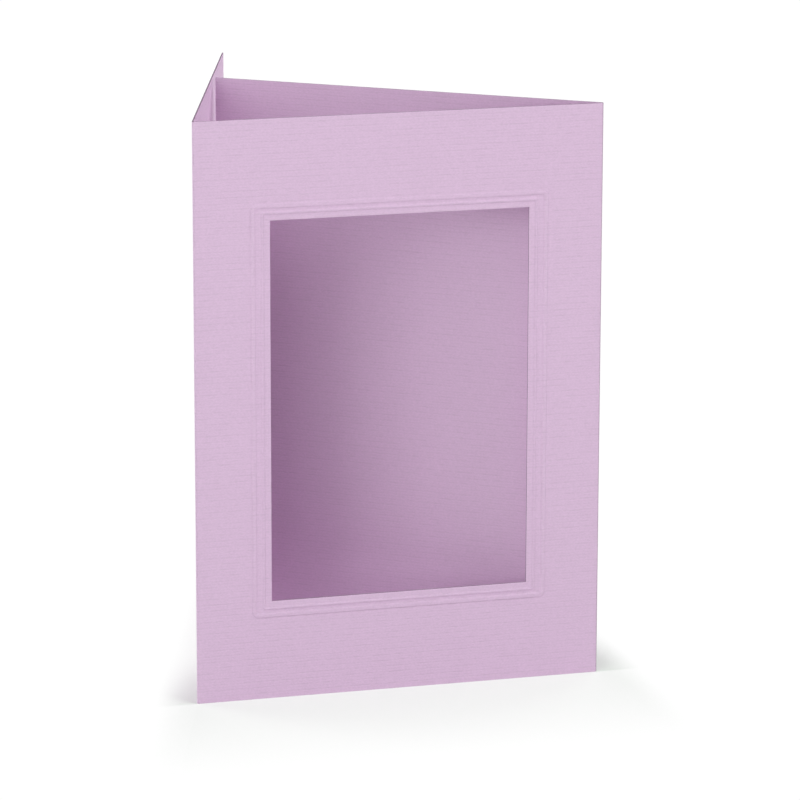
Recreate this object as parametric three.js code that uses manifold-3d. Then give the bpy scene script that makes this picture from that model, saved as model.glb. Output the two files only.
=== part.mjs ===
// A standing passe-partout card: one folded sheet of thick laid paper with a framed window.
// Millimetres, +Z up. The front panel faces -Y and runs along X. The card stands on its
// bottom edges, with the origin under the middle of the space that it takes up.

import * as THREE from 'three';
import { mergeVertices } from 'three/addons/utils/BufferGeometryUtils.js';
import Module from 'manifold-3d';

// The sheet and its three panels. Each panel that folds in behind the front is a little
// narrower than the front, so that the closed card lies flat.
const SHEET_THICKNESS = 0.4;
const CARD_HEIGHT = 169;
const FRONT_WIDTH = 120;
const FLAP_SHORTFALL = 1.0;
const BACK_SHORTFALL = 0.5;

// How the card stands open. The flap goes back from the left fold at its own angle, and the
// back panel goes back from the right fold until its free edge stands this far off the flap.
const FLAP_ANGLE = 72.7;
const FREE_EDGE_GAP = 0.8;
const FOLD_INNER_RADIUS = 0.2;

// The window, with these widths of paper left round it.
const WINDOW_SIDE_MARGIN = 22;
const WINDOW_TOP_MARGIN = 29;
const WINDOW_BOTTOM_MARGIN = 29;

// Two embossed beads frame the window: raised on the front, hollow on the back. A bead's
// reach is from the window's edge to the middle of the bead, at the sides and at the ends.
const BEAD_HEIGHT = 0.15;
const BEAD_SHOULDER = 0.5;
const BEAD_SHOULDER_STEPS = 3;
const INNER_BEAD = { sideReach: 2.2, endReach: 2.2, flat: 0.25, cornerRadius: 0.2 };
const OUTER_BEAD = { sideReach: 5.0, endReach: 4.1, flat: 0.75, cornerRadius: 0.6 };

const ARC_STEPS = 5;
const PAPER_COLOUR = 0xd6bcd5;
const RIGHT_ANGLE = Math.PI / 2;

const wasm = await Module();
wasm.setup();

function toSolid(geometry) {
  geometry.deleteAttribute('normal');
  geometry.deleteAttribute('uv');
  const merged = mergeVertices(geometry);
  return new wasm.Manifold(new wasm.Mesh({
    numProp: 3,
    vertProperties: Float32Array.from(merged.attributes.position.array),
    triVerts: Uint32Array.from(merged.index.array),
  }));
}

function toGeometry(solid) {
  const mesh = solid.getMesh();
  const geometry = new THREE.BufferGeometry();
  geometry.setAttribute('position', new THREE.BufferAttribute(mesh.vertProperties, 3));
  geometry.setIndex(new THREE.BufferAttribute(mesh.triVerts, 1));
  return geometry;
}

function heading(angle) {
  return new THREE.Vector2(Math.cos(angle), Math.sin(angle));
}

// The angle between front and back, from the triangle that the front, the back and the line
// one gap inside the flap make in plan.
function backAngle(flapAngle) {
  const inset = (SHEET_THICKNESS + FREE_EDGE_GAP) / Math.sin(flapAngle);
  const backWidth = FRONT_WIDTH - BACK_SHORTFALL;
  const apexAngle = Math.asin((FRONT_WIDTH - inset) * Math.sin(flapAngle) / backWidth);
  return Math.PI - flapAngle - apexAngle;
}

// The sheet seen from above: the flap, the left fold, the front, the right fold and the back.
// The front's outer face lies on y = 0, and the folds' outer faces on x = 0 and x = its width.
function sheetOutline() {
  const outerRadius = FOLD_INNER_RADIUS + SHEET_THICKNESS;
  const flapAngle = THREE.MathUtils.degToRad(FLAP_ANGLE);
  const leftFold = new THREE.Vector2(outerRadius, outerRadius);
  const rightFold = new THREE.Vector2(FRONT_WIDTH - outerRadius, outerRadius);

  const alongFlap = heading(flapAngle);
  const offFlap = heading(flapAngle + RIGHT_ANGLE);
  const flapEnd = leftFold.clone()
    .addScaledVector(alongFlap, FRONT_WIDTH - FLAP_SHORTFALL - outerRadius);

  const turnToBack = Math.PI - backAngle(flapAngle);
  const alongBack = heading(turnToBack);
  const offBack = heading(turnToBack - RIGHT_ANGLE);
  const backEnd = rightFold.clone()
    .addScaledVector(alongBack, FRONT_WIDTH - BACK_SHORTFALL - outerRadius);

  const corner = (end, off, radius) => end.clone().addScaledVector(off, radius);
  const outline = new THREE.Shape();
  const lineTo = (point) => outline.lineTo(point.x, point.y);
  const start = corner(flapEnd, offFlap, FOLD_INNER_RADIUS);
  outline.moveTo(start.x, start.y);
  lineTo(corner(flapEnd, offFlap, outerRadius));
  outline.absarc(leftFold.x, leftFold.y, outerRadius, flapAngle + RIGHT_ANGLE, 3 * RIGHT_ANGLE, false);
  outline.absarc(rightFold.x, rightFold.y, outerRadius, -RIGHT_ANGLE, turnToBack - RIGHT_ANGLE, false);
  lineTo(corner(backEnd, offBack, outerRadius));
  lineTo(corner(backEnd, offBack, FOLD_INNER_RADIUS));
  outline.absarc(rightFold.x, rightFold.y, FOLD_INNER_RADIUS, turnToBack - RIGHT_ANGLE, -RIGHT_ANGLE, true);
  outline.absarc(leftFold.x, leftFold.y, FOLD_INNER_RADIUS, 3 * RIGHT_ANGLE, flapAngle + RIGHT_ANGLE, true);
  outline.closePath();
  return outline;
}

function foldedSheet() {
  const settings = { depth: CARD_HEIGHT, bevelEnabled: false, curveSegments: ARC_STEPS };
  return toSolid(new THREE.ExtrudeGeometry(sheetOutline(), settings));
}

// The window's size and the place of its middle on the front panel.
const windowWidth = FRONT_WIDTH - 2 * WINDOW_SIDE_MARGIN;
const windowHeight = CARD_HEIGHT - WINDOW_TOP_MARGIN - WINDOW_BOTTOM_MARGIN;
const windowX = FRONT_WIDTH / 2;
const windowZ = WINDOW_BOTTOM_MARGIN + windowHeight / 2;

function windowCutter() {
  const through = 3 * SHEET_THICKNESS;
  const box = new THREE.BoxGeometry(windowWidth, through, windowHeight);
  box.translate(windowX, SHEET_THICKNESS / 2, windowZ);
  return toSolid(box);
}

// A rectangle with round corners, about its own middle.
function roundRectangle(path, width, height, radius) {
  const x = width / 2 - radius;
  const y = height / 2 - radius;
  path.moveTo(-x, -y - radius);
  path.lineTo(x, -y - radius);
  path.absarc(x, -y, radius, -RIGHT_ANGLE, 0, false);
  path.lineTo(x + radius, y);
  path.absarc(x, y, radius, 0, RIGHT_ANGLE, false);
  path.lineTo(-x, y + radius);
  path.absarc(-x, y, radius, RIGHT_ANGLE, 2 * RIGHT_ANGLE, false);
  path.lineTo(-x - radius, -y);
  path.absarc(-x, -y, radius, 2 * RIGHT_ANGLE, 3 * RIGHT_ANGLE, false);
  return path;
}

// One bead round the window. Its flat top stands proud of the front face, its shoulders slope
// down to it, and its root is buried in the sheet.
function bead({ sideReach, endReach, flat, cornerRadius }) {
  const middleWidth = windowWidth + 2 * sideReach;
  const middleHeight = windowHeight + 2 * endReach;
  const outerRadius = cornerRadius + flat;
  const ring = roundRectangle(new THREE.Shape(), middleWidth + flat, middleHeight + flat, outerRadius);
  ring.holes.push(roundRectangle(new THREE.Path(), middleWidth - flat, middleHeight - flat, cornerRadius));
  const root = SHEET_THICKNESS / 2;
  const geometry = new THREE.ExtrudeGeometry(ring, {
    depth: root,
    bevelThickness: BEAD_HEIGHT,
    bevelSize: BEAD_SHOULDER,
    bevelSegments: BEAD_SHOULDER_STEPS,
    curveSegments: ARC_STEPS,
  });
  geometry.rotateX(RIGHT_ANGLE);
  geometry.translate(windowX, root, windowZ);
  return geometry;
}

function embossedBead(sheet, size) {
  const raised = toSolid(bead(size));
  const hollow = toSolid(bead(size).translate(0, SHEET_THICKNESS, 0));
  return sheet.add(raised).subtract(hollow);
}

function foldedCard() {
  let sheet = foldedSheet();
  sheet = embossedBead(sheet, INNER_BEAD);
  sheet = embossedBead(sheet, OUTER_BEAD);
  sheet = sheet.subtract(windowCutter());

  const paper = new THREE.MeshStandardMaterial({ color: PAPER_COLOUR, roughness: 0.85, metalness: 0 });
  const card = new THREE.Mesh(toGeometry(sheet), paper);
  card.name = 'folded_card';

  // The card stands centred over the origin.
  card.geometry.computeBoundingBox();
  const middle = card.geometry.boundingBox.getCenter(new THREE.Vector3());
  card.position.set(-middle.x, -middle.y, 0);
  return card;
}

const group = new THREE.Group();
group.add(foldedCard());

export default group;
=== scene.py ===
"""A standing passe-partout card: one sheet of lilac laid card, cut, embossed and folded, on a pale floor."""

import math

import bpy
from mathutils import Matrix, Vector


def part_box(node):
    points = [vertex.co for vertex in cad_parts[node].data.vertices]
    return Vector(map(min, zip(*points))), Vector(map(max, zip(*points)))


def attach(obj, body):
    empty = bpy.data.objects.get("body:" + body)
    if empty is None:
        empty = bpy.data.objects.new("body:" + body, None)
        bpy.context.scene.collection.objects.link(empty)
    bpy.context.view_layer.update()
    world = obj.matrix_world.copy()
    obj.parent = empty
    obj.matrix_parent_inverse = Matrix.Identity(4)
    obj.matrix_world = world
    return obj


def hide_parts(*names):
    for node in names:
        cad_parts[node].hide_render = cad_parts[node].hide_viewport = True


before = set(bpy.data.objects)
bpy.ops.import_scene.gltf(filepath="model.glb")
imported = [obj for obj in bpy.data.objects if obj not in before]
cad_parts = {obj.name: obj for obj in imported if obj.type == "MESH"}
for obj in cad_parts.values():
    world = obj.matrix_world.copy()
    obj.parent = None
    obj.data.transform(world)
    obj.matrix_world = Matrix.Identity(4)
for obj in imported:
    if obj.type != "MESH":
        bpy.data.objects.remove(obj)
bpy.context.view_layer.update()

MM = 0.001
NODE = "folded_card"
card_low, card_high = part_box(NODE)

# The sheet and its folds.
SHEET = 0.4 * MM
FOLD_OUTER = 0.6 * MM
FOLD_STEPS = 12
FLAP_ANGLE = math.radians(72.7)
FLAP_SHORTFALL = 1.0 * MM
BACK_SHORTFALL = 0.5 * MM
FREE_EDGE_GAP = 0.8 * MM
CUT_ROUNDING = 0.03 * MM
CUT_STEPS = 2
CUT_ANGLE = math.radians(60)

# The front panel, in the frame, where its embossed beads stand foremost. The beads drawn here are
# about twice as high as the solid's, because at the solid's height they look too faint.
SOLID_BEAD_HEIGHT = 0.15 * MM
BEAD_HEIGHT = 0.31 * MM
WIDTH = 120 * MM
HEIGHT = card_high.z
FRONT = card_low.y + SOLID_BEAD_HEIGHT

# The front's two lower corners, the way that the flap runs back from its fold, and its outer side.
LEFT_FOLD = Vector((-WIDTH / 2, FRONT, 0))
RIGHT_FOLD = Vector((WIDTH / 2, FRONT, 0))
FLAP_WAY = Vector((math.cos(FLAP_ANGLE), math.sin(FLAP_ANGLE), 0))
FLAP_SIDE = Vector((-math.sin(FLAP_ANGLE), math.cos(FLAP_ANGLE), 0))

# The window and the two beads that frame it. A bead's reach runs from the window's edge to the
# bead's middle, at the sides and at the ends, and its corner is the radius there.
SIDE_MARGIN = 22 * MM
END_MARGIN = 29 * MM
WINDOW_WIDTH = WIDTH - 2 * SIDE_MARGIN
WINDOW_HEIGHT = HEIGHT - 2 * END_MARGIN
WINDOW_CORNER = 0.12 * MM
INNER_BEAD = dict(side=2.2 * MM, end=2.1 * MM, flat=0.2 * MM, corner=0.5 * MM)
OUTER_BEAD = dict(side=5.0 * MM, end=4.1 * MM, flat=0.7 * MM, corner=1.1 * MM)
SHOULDER = 0.55 * MM
SHOULDER_STEPS = 6
CORNER_STEPS = 6
BORDER_CORNER = 0.002 * MM
SMALL = 0.02 * MM


def deselect_all():
    bpy.ops.object.select_all(action="DESELECT")


def make_active(piece):
    deselect_all()
    piece.select_set(True)
    bpy.context.view_layer.objects.active = piece


def select_vertices(piece, wanted):
    """Selects the vertices that wanted(index, place) accepts, and the edges between them."""
    bpy.ops.mesh.select_mode(type="VERT")
    bpy.ops.mesh.select_all(action="DESELECT")
    bpy.ops.object.mode_set(mode="OBJECT")
    for vertex in piece.data.vertices:
        vertex.select = wanted(vertex.index, vertex.co)
    bpy.ops.object.mode_set(mode="EDIT")


def apply_modifiers(piece):
    make_active(piece)
    for name in [modifier.name for modifier in piece.modifiers]:
        bpy.ops.object.modifier_apply(modifier=name)


# The card's shape

def bead_contours(bead):
    """Rectangles round the window that draw one bead: up its inner shoulder, across its top and down."""
    steps = [step / SHOULDER_STEPS for step in range(SHOULDER_STEPS + 1)]
    rise = [(-bead["flat"] / 2 - SHOULDER * (1 - t), t) for t in steps]
    fall = [(-out, t) for out, t in reversed(rise)]
    for out, t in rise + fall:
        proud = BEAD_HEIGHT * t * t * (3 - 2 * t)
        yield bead["side"] + out, bead["end"] + out, max(bead["corner"] + out, WINDOW_CORNER), proud


def panel_contours():
    """The front panel as nested rectangles, from the window to the folds and the cut ends."""
    yield WINDOW_WIDTH, WINDOW_HEIGHT, WINDOW_CORNER, 0
    for bead in (INNER_BEAD, OUTER_BEAD):
        for side, end, corner, proud in bead_contours(bead):
            yield WINDOW_WIDTH + 2 * side, WINDOW_HEIGHT + 2 * end, corner, proud
    yield WIDTH - 2 * FOLD_OUTER, HEIGHT, BORDER_CORNER, 0


def first_contour(width, height, corner, proud):
    """A rectangle of edges with round corners, upright and facing forwards."""
    middle = (0, FRONT - proud, HEIGHT / 2)
    bpy.ops.mesh.primitive_plane_add(size=1, location=middle, rotation=(math.radians(90), 0, 0))
    bpy.ops.transform.resize(value=(width, 1, height), center_override=middle)
    bpy.ops.mesh.bevel(offset=corner, segments=CORNER_STEPS, affect="VERTICES")
    bpy.ops.mesh.delete(type="ONLY_FACE")
    bpy.ops.mesh.select_all(action="SELECT")


def next_contour(piece, before, after):
    """Extrudes the selected contour, and sets each of its four corners in its new place and size."""
    bpy.ops.mesh.extrude_edges_move()
    bpy.ops.object.mode_set(mode="OBJECT")
    loop = {vertex.index for vertex in piece.data.vertices if vertex.select}
    bpy.ops.object.mode_set(mode="EDIT")
    wider, taller, rounder, prouder = (new - old for new, old in zip(after, before))
    _, _, old_corner, _ = before
    width, height, _, proud = after
    scale = 1 + rounder / old_corner
    for across in (-1, 1):
        for up in (-1, 1):
            select_vertices(piece, lambda index, at: (
                index in loop and at.x * across > 0 and (at.z - HEIGHT / 2) * up > 0
            ))
            bpy.ops.transform.translate(value=(across * wider / 2, -prouder, up * taller / 2))
            sharp = (across * width / 2, FRONT - proud, HEIGHT / 2 + up * height / 2)
            bpy.ops.transform.resize(value=(scale, 1, scale), center_override=sharp)
    select_vertices(piece, lambda index, at: index in loop)


def make_front():
    """The front panel's face, with its window and embossed beads."""
    bpy.ops.mesh.primitive_plane_add(size=1)
    piece = bpy.context.object
    piece.name = piece.data.name = "card_sheet"
    bpy.ops.object.mode_set(mode="EDIT")
    bpy.ops.mesh.select_all(action="SELECT")
    bpy.ops.mesh.delete(type="VERT")
    contours = list(panel_contours())
    first_contour(*contours[0])
    for before, after in zip(contours, contours[1:]):
        next_contour(piece, before, after)
    bpy.ops.mesh.select_all(action="SELECT")
    bpy.ops.mesh.remove_doubles(threshold=2 * BORDER_CORNER)
    return piece


def back_angle():
    """The angle between front and back at which the back's free edge stands its gap off the flap."""
    inset = (SHEET + FREE_EDGE_GAP) / math.sin(FLAP_ANGLE)
    apex = math.asin((WIDTH - inset) * math.sin(FLAP_ANGLE) / (WIDTH - BACK_SHORTFALL))
    return math.pi - FLAP_ANGLE - apex


def fold_panel(piece, side, angle, length):
    """Rolls a rounded fold on from the front's left or right edge, and lays a panel out from it."""
    edge = side * (WIDTH / 2 - FOLD_OUTER)
    select_vertices(piece, lambda index, at: abs(at.x - edge) < SMALL)
    bpy.ops.mesh.spin(
        steps=FOLD_STEPS,
        angle=side * (angle - math.pi),
        center=(edge, FRONT + FOLD_OUTER, 0),
        axis=(0, 0, 1),
    )
    run = length - FOLD_OUTER
    bpy.ops.mesh.extrude_edges_move()
    bpy.ops.transform.translate(value=(-side * run * math.cos(angle), run * math.sin(angle), 0))


def make_card_sheet():
    piece = make_front()
    fold_panel(piece, -1, FLAP_ANGLE, WIDTH - FLAP_SHORTFALL)
    fold_panel(piece, 1, back_angle(), WIDTH - BACK_SHORTFALL)
    bpy.ops.mesh.select_all(action="SELECT")
    bpy.ops.mesh.normals_make_consistent(inside=False)
    bpy.ops.object.mode_set(mode="OBJECT")
    if sum(face.normal.y for face in piece.data.polygons if face.center.y < FRONT + SMALL) > 0:
        piece.data.flip_normals()
    bpy.ops.object.shade_smooth()
    return piece


def thicken(piece):
    """Gives the face its thickness inwards, with cut edges in their own material, slightly rounded."""
    wall = piece.modifiers.new("wall", "SOLIDIFY")
    wall.thickness = SHEET
    wall.offset = -1
    wall.use_even_offset = True
    wall.use_quality_normals = True
    wall.material_offset_rim = 1
    rounding = piece.modifiers.new("cut_rounding", "BEVEL")
    rounding.width = CUT_ROUNDING
    rounding.segments = CUT_STEPS
    rounding.limit_method = "ANGLE"
    rounding.angle_limit = CUT_ANGLE
    normals = piece.modifiers.new("even_shading", "WEIGHTED_NORMAL")
    normals.weight = 100
    apply_modifiers(piece)


# Materials

def new_material(name):
    material = bpy.data.materials.new(name)
    material.use_nodes = True
    tree = material.node_tree
    return material, tree, tree.nodes["Principled BSDF"]


def add_node(tree, kind, **settings):
    made = tree.nodes.new(kind)
    for name, value in settings.items():
        if hasattr(made, name):
            setattr(made, name, value)
        else:
            made.inputs[name].default_value = value
    return made


def background_rays(tree):
    """1 for rays that see the background, straight or in a reflection or through glass, else 0."""
    path = add_node(tree, "ShaderNodeLightPath")
    mirrored = maths(tree, "MAXIMUM", path.outputs["Is Camera Ray"], path.outputs["Is Glossy Ray"])
    return maths(tree, "MAXIMUM", mirrored, path.outputs["Is Transmission Ray"])


def linear(red, green, blue):
    """A colour read from 0 to 255 on a screen, as the shader takes it."""
    def channel(value):
        value /= 255
        return value / 12.92 if value <= 0.04045 else ((value + 0.055) / 1.055) ** 2.4
    return channel(red), channel(green), channel(blue), 1.0


def own_place(tree):
    """The object's own coordinates, which are the frame's, because the object sits at the origin."""
    return add_node(tree, "ShaderNodeTexCoord").outputs["Object"]


def coordinate(tree, axis):
    split = add_node(tree, "ShaderNodeSeparateXYZ")
    tree.links.new(own_place(tree), split.inputs[0])
    return split.outputs[axis]


def distance_along(tree, way):
    """How far a point lies from the origin in a given direction."""
    along = add_node(tree, "ShaderNodeVectorMath", operation="DOT_PRODUCT")
    tree.links.new(own_place(tree), along.inputs[0])
    along.inputs[1].default_value = way
    return along.outputs["Value"]


def noise(tree, scale, detail, roughness, offset):
    """Smooth noise from 0 to 1, with the given number of swells a metre along each axis."""
    mapping = add_node(tree, "ShaderNodeMapping", Scale=scale, Location=offset)
    tree.links.new(own_place(tree), mapping.inputs["Vector"])
    made = add_node(tree, "ShaderNodeTexNoise", Scale=1.0, Detail=detail, Roughness=roughness)
    tree.links.new(mapping.outputs["Vector"], made.inputs["Vector"])
    return made.outputs["Fac"]


def maths(tree, operation, *values):
    made = add_node(tree, "ShaderNodeMath", operation=operation)
    for socket, value in zip(made.inputs, values):
        if isinstance(value, (int, float)):
            socket.default_value = value
        else:
            tree.links.new(value, socket)
    return made.outputs["Value"]


def swing(tree, made_noise):
    """Noise about nought, from -0.5 to 0.5."""
    return maths(tree, "SUBTRACT", noise(tree, *made_noise), 0.5)


def spread(tree, value, low, high, to_low, to_high):
    """Eases a value that runs from low to high over into one that runs from to_low to to_high."""
    made = add_node(tree, "ShaderNodeMapRange", interpolation_type="SMOOTHSTEP")
    tree.links.new(value, made.inputs["Value"])
    made.inputs["From Min"].default_value = low
    made.inputs["From Max"].default_value = high
    made.inputs["To Min"].default_value = to_low
    made.inputs["To Max"].default_value = to_high
    return made.outputs["Result"]


PAPER_COLOUR = linear(222, 194, 221)
PAPER_ROUGHNESS = 0.9
PAPER_GLOSS = 0.2
# Cut edges: painted shade, darker and greyer than their own colour, which is the paper's.
CUT_PAINTED_SHADE_COLOUR = linear(140, 118, 140)
CUT_ROUGHNESS = 0.95
CUT_GLOSS = 0.1

# The laid lines of the paper: level valleys this far apart, every other one deeper. The paper is
# lightened by a share of the lines' shade, which keeps its mean tone.
LINE_SPACING = 0.855 * MM
LINE_WANDER = 0.16 * MM
LINE_NARROWNESS = 1.6
LINE_STRENGTH = 0.7
LINE_ALTERNATION = 0.3
LINE_DEPTH = 0.030 * MM
LINE_SHADE = 0.075
LINE_LIGHTENING = 0.25
FIBRE_DEPTH = 0.03 * MM
FIBRE_SHADE = 0.26
CLOUD_SHADE = 0.016

# Noises: swells a metre along each axis, detail, roughness and offset.
WANDER_NOISE = ((120, 120, 260), 2.0, 0.5, (0, 0, 0))
BREAK_NOISE = ((330, 330, 1300), 2.0, 0.5, (3, 1, 4))
FIBRE_NOISE = ((1500, 1500, 3000), 3.0, 0.6, (0, 0, 0))
CLOUD_NOISE = ((70, 70, 110), 2.0, 0.5, (7, 2, 5))

# Where the break noise runs from the first to the second, a line runs from the third to the fourth.
LINE_BREAKS = (0.36, 0.68, 0.25, 1.0)


def laid_lines(tree):
    """0 on the ribs and up to 1 in the valleys between them, which waver and fade in places."""
    wander = swing(tree, WANDER_NOISE)
    height = maths(tree, "MULTIPLY_ADD", wander, 2 * LINE_WANDER, coordinate(tree, "Z"))
    turn = maths(tree, "MULTIPLY", height, 2 * math.pi / LINE_SPACING)
    valley = maths(tree, "MULTIPLY_ADD", maths(tree, "COSINE", turn), 0.5, 0.5)
    narrow = maths(tree, "POWER", valley, LINE_NARROWNESS)
    half_turn = maths(tree, "COSINE", maths(tree, "MULTIPLY", turn, 0.5))
    deeper = maths(tree, "MULTIPLY_ADD", half_turn, LINE_ALTERNATION, LINE_STRENGTH)
    broken = spread(tree, noise(tree, *BREAK_NOISE), *LINE_BREAKS)
    return maths(tree, "MULTIPLY", maths(tree, "MULTIPLY", narrow, deeper), broken)


# Painted shade: a thin dark line down the right fold, which the lamps alone don't give.
FOLD_LINE_SHADE = 0.42
FOLD_LINE_FROM = WIDTH / 2 - 0.50 * MM
FOLD_LINE_TO = WIDTH / 2 - 0.15 * MM


def right_fold_painted_shade(tree):
    reached = coordinate(tree, "X")
    return spread(tree, reached, FOLD_LINE_FROM, FOLD_LINE_TO, 1, 1 - FOLD_LINE_SHADE)


# A dark line on the flap's inner face beside the back's free edge, painted here as corner shading.
# It starts and ends this far from the left fold.
CORNER_SHADE = 0.16
CORNER_FROM = 69.5 * MM
CORNER_RISE = 2 * MM
CORNER_TO = 74.0 * MM
CORNER_DROP = 0.5 * MM


def corner_shade(tree):
    along = distance_along(tree, FLAP_WAY)
    start = LEFT_FOLD.dot(FLAP_WAY) + CORNER_FROM
    stop = LEFT_FOLD.dot(FLAP_WAY) + CORNER_TO
    reached = spread(tree, along, start, start + CORNER_RISE, 0, CORNER_SHADE)
    passed = spread(tree, along, stop, stop + CORNER_DROP, 1, 0)
    inner_face = LEFT_FOLD.dot(FLAP_SIDE) - SHEET
    on_flap = maths(tree, "COMPARE", distance_along(tree, FLAP_SIDE), inner_face, SHEET / 3)
    shaded_line = maths(tree, "MULTIPLY", maths(tree, "MULTIPLY", reached, passed), on_flap)
    return maths(tree, "SUBTRACT", 1.0, shaded_line)


def laid_paper():
    material, tree, shader = new_material("laid_paper")
    lines = laid_lines(tree)
    fibres = swing(tree, FIBRE_NOISE)

    shade = maths(tree, "MULTIPLY_ADD", lines, -LINE_SHADE, 1 + LINE_SHADE * LINE_LIGHTENING)
    shade = maths(tree, "MULTIPLY_ADD", fibres, FIBRE_SHADE, shade)
    shade = maths(tree, "MULTIPLY_ADD", swing(tree, CLOUD_NOISE), CLOUD_SHADE, shade)
    # Painted shade down the right fold, then painted corner shade on the flap by the back's free edge.
    shade = maths(tree, "MULTIPLY", shade, right_fold_painted_shade(tree))
    shade = maths(tree, "MULTIPLY", shade, corner_shade(tree))
    colour = add_node(tree, "ShaderNodeVectorMath", operation="SCALE")
    colour.inputs[0].default_value = PAPER_COLOUR[:3]
    tree.links.new(shade, colour.inputs["Scale"])
    tree.links.new(colour.outputs["Vector"], shader.inputs["Base Color"])

    relief = maths(tree, "MULTIPLY", lines, -LINE_DEPTH)
    relief = maths(tree, "MULTIPLY_ADD", fibres, FIBRE_DEPTH, relief)
    bump = add_node(tree, "ShaderNodeBump", Strength=1.0, Distance=1.0)
    tree.links.new(relief, bump.inputs["Height"])
    tree.links.new(bump.outputs["Normal"], shader.inputs["Normal"])
    shader.inputs["Roughness"].default_value = PAPER_ROUGHNESS
    shader.inputs["Specular IOR Level"].default_value = PAPER_GLOSS
    return material


def cut_paper():
    material, tree, shader = new_material("cut_paper")
    shader.inputs["Base Color"].default_value = CUT_PAINTED_SHADE_COLOUR
    shader.inputs["Roughness"].default_value = CUT_ROUGHNESS
    shader.inputs["Specular IOR Level"].default_value = CUT_GLOSS
    return material


card = make_card_sheet()
card.data.materials.append(laid_paper())
card.data.materials.append(cut_paper())
thicken(card)
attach(card, "root")
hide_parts(NODE)


# Camera: the photograph's view, aimed near the front panel's middle.
VIEW_YAW = math.radians(15.49)
VIEW_PITCH = math.radians(13.76)
VIEW_ROLL = math.radians(0.11)
VIEW_DISTANCE = 1267.2 * MM
VIEW_AIM = Vector((0.03 * MM, FRONT + 0.31 * MM, 85.74 * MM))
LENS = 199.8
SENSOR = 36
CLIP_END = 20


def make_camera():
    camera = bpy.data.cameras.new("camera")
    camera.lens = LENS
    camera.sensor_width = SENSOR
    camera.clip_end = CLIP_END
    turn = Matrix.Rotation(-VIEW_YAW, 4, "Z") @ Matrix.Rotation(math.pi / 2 - VIEW_PITCH, 4, "X")
    place = Matrix.Translation(VIEW_AIM) @ turn @ Matrix.Translation((0, 0, VIEW_DISTANCE))
    holder = bpy.data.objects.new("camera", camera)
    bpy.context.scene.collection.objects.link(holder)
    holder.matrix_world = place @ Matrix.Rotation(VIEW_ROLL, 4, "Z")
    bpy.context.scene.camera = holder


WHITE = (1, 1, 1, 1)

# The floor. Rays that light the card see a pale floor with a lilac glow behind the front, which
# fades between these distances from the origin. Its strength was fitted to the photograph's tones.
FLOOR_SIZE = 6
FLOOR_LIGHT = (0.85, 0.85, 0.85, 1)
FLOOR_GLOW = 0.276
GLOW_COLOUR = (1, 0.8, 1, 1)
GLOW_REACH = (60 * MM, 140 * MM)

# The camera sees the floor's shadow fade out to white a short way from the card. Each fade starts
# at a line and runs in one direction, and the fades multiply.
FLOOR_SEEN = (0.89, 0.95, 0.89, 1)
FLOOR_WHITE = 1.02
SHADOW_FADES = (
    # line through, way, from, to, least, most
    (LEFT_FOLD, Vector((0, -1, 0)), 0, 80 * MM, 0.56, 1.0),
    (LEFT_FOLD, Vector((0, 1, 0)), 5 * MM, 50 * MM, 0.0, 0.65),
    (LEFT_FOLD, FLAP_SIDE, 0, 14 * MM, 0.15, 1.0),
    (RIGHT_FOLD, Vector((1, 0, 0)), 3 * MM, 16 * MM, 0.0, 1.0),
)


def faded_shadow(tree):
    """0 where the floor's shadow shows in full, and 1 where the floor is plain white."""
    shadow = 1.0
    for line, way, start, stop, least, most in SHADOW_FADES:
        along = distance_along(tree, way)
        origin = line.dot(way)
        fade = spread(tree, along, origin + start, origin + stop, least, most)
        outside = maths(tree, "GREATER_THAN", along, origin)
        kept = maths(tree, "SUBTRACT", 1.0, maths(tree, "MULTIPLY", fade, outside))
        shadow = maths(tree, "MULTIPLY", shadow, kept)
    return maths(tree, "SUBTRACT", 1.0, shadow)


def floor_for_light(tree):
    """The floor as it lights the card: pale, with its glow behind the front."""
    pale = add_node(tree, "ShaderNodeBsdfDiffuse", Color=FLOOR_LIGHT)
    reach = add_node(tree, "ShaderNodeVectorMath", operation="LENGTH")
    tree.links.new(own_place(tree), reach.inputs[0])
    strength = spread(tree, reach.outputs["Value"], *GLOW_REACH, FLOOR_GLOW, 0)
    behind = maths(tree, "GREATER_THAN", coordinate(tree, "Y"), FRONT)
    glow = add_node(tree, "ShaderNodeEmission", Color=GLOW_COLOUR)
    tree.links.new(maths(tree, "MULTIPLY", strength, behind), glow.inputs["Strength"])
    both = add_node(tree, "ShaderNodeAddShader")
    tree.links.new(pale.outputs[0], both.inputs[0])
    tree.links.new(glow.outputs[0], both.inputs[1])
    return both.outputs[0]


def floor_for_eye(tree):
    """The floor as it is seen: the card's shadow, faded out to white."""
    shaded = add_node(tree, "ShaderNodeBsdfDiffuse", Color=FLOOR_SEEN)
    white = add_node(tree, "ShaderNodeEmission", Color=WHITE, Strength=FLOOR_WHITE)
    seen = add_node(tree, "ShaderNodeMixShader")
    tree.links.new(faded_shadow(tree), seen.inputs[0])
    tree.links.new(shaded.outputs[0], seen.inputs[1])
    tree.links.new(white.outputs[0], seen.inputs[2])
    return seen.outputs[0]


def make_floor():
    deselect_all()
    bpy.ops.mesh.primitive_plane_add(size=FLOOR_SIZE)
    floor = bpy.context.object
    floor.name = "floor"
    material = bpy.data.materials.new("floor_white")
    material.use_nodes = True
    tree = material.node_tree
    tree.nodes.clear()
    by_ray = add_node(tree, "ShaderNodeMixShader")
    tree.links.new(background_rays(tree), by_ray.inputs[0])
    tree.links.new(floor_for_light(tree), by_ray.inputs[1])
    tree.links.new(floor_for_eye(tree), by_ray.inputs[2])
    output = add_node(tree, "ShaderNodeOutputMaterial")
    tree.links.new(by_ray.outputs[0], output.inputs["Surface"])
    floor.data.materials.append(material)


# The world: white where it is seen, and nearly dark as a light, because the lamps light the card.
SKY_LIGHT = 0.005


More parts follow.
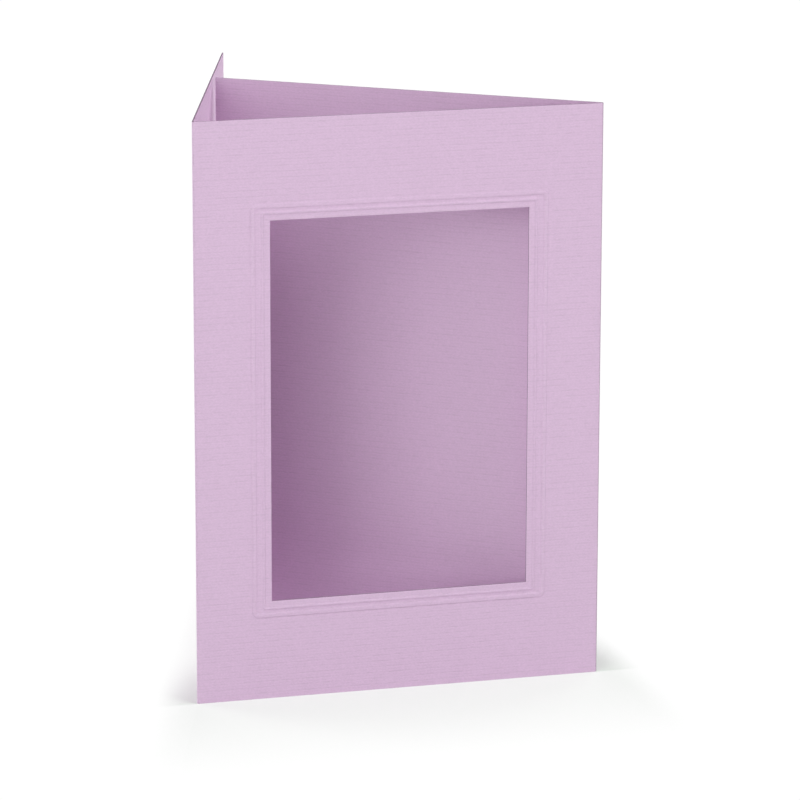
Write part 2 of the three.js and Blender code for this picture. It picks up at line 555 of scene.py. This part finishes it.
def make_world():
    world = bpy.data.worlds.new("studio")
    bpy.context.scene.world = world
    world.use_nodes = True
    tree = world.node_tree
    sky = tree.nodes["Background"]
    sky.inputs["Color"].default_value = WHITE
    sky.inputs["Strength"].default_value = SKY_LIGHT
    seen = add_node(tree, "ShaderNodeBackground", Color=WHITE, Strength=1.0)
    mix = add_node(tree, "ShaderNodeMixShader")
    tree.links.new(background_rays(tree), mix.inputs[0])
    tree.links.new(sky.outputs[0], mix.inputs[1])
    tree.links.new(seen.outputs[0], mix.inputs[2])
    tree.links.new(mix.outputs[0], tree.nodes["World Output"].inputs["Surface"])


# Soft round lamps on a dome about the card. Bearings run from the front towards the right. The
# powers come from a fit to the photograph's tones, with some small lamps merged.
LAMP_AIM = Vector((0, 0, 0.08))
LAMP_DISTANCE = 1.6
LAMPS = (
    # name, bearing, elevation, size, power
    ("front_right_high", 45, 40, 0.9, 11.2),
    ("right_high", 90, 40, 0.9, 4.7),
    ("rear_right_high", 135, 40, 0.9, 6.2),
    ("rear_left_high", 225, 40, 0.9, 6.5),
    ("rear_left_low", 225, 8, 0.4, 5.9),
    ("left_high", 290, 24, 0.6, 1.3),
    ("left_low", 300, 8, 0.4, 1.0),
    ("front_left_low", 315, 12, 0.8, 3.9),
    ("front_left_high", 315, 42, 0.9, 3.0),
    ("front_high", 330, 24, 0.6, 2.3),
    ("front_low", 340, 8, 0.4, 1.2),
)


def make_lamp(name, bearing, elevation, size, power):
    lamp = bpy.data.lights.new(name, "AREA")
    lamp.shape = "DISK"
    lamp.size = size
    lamp.energy = power
    holder = bpy.data.objects.new(name, lamp)
    bpy.context.scene.collection.objects.link(holder)
    bearing = math.radians(bearing)
    elevation = math.radians(elevation)
    level = math.cos(elevation)
    outwards = Vector((math.sin(bearing) * level, -math.cos(bearing) * level, math.sin(elevation)))
    turn = (-outwards).to_track_quat("-Z", "Y").to_matrix().to_4x4()
    holder.matrix_world = Matrix.Translation(LAMP_AIM + LAMP_DISTANCE * outwards) @ turn


make_camera()
make_floor()
make_world()
for lamp in LAMPS:
    make_lamp(*lamp)

bpy.context.scene.view_settings.view_transform = "Standard"
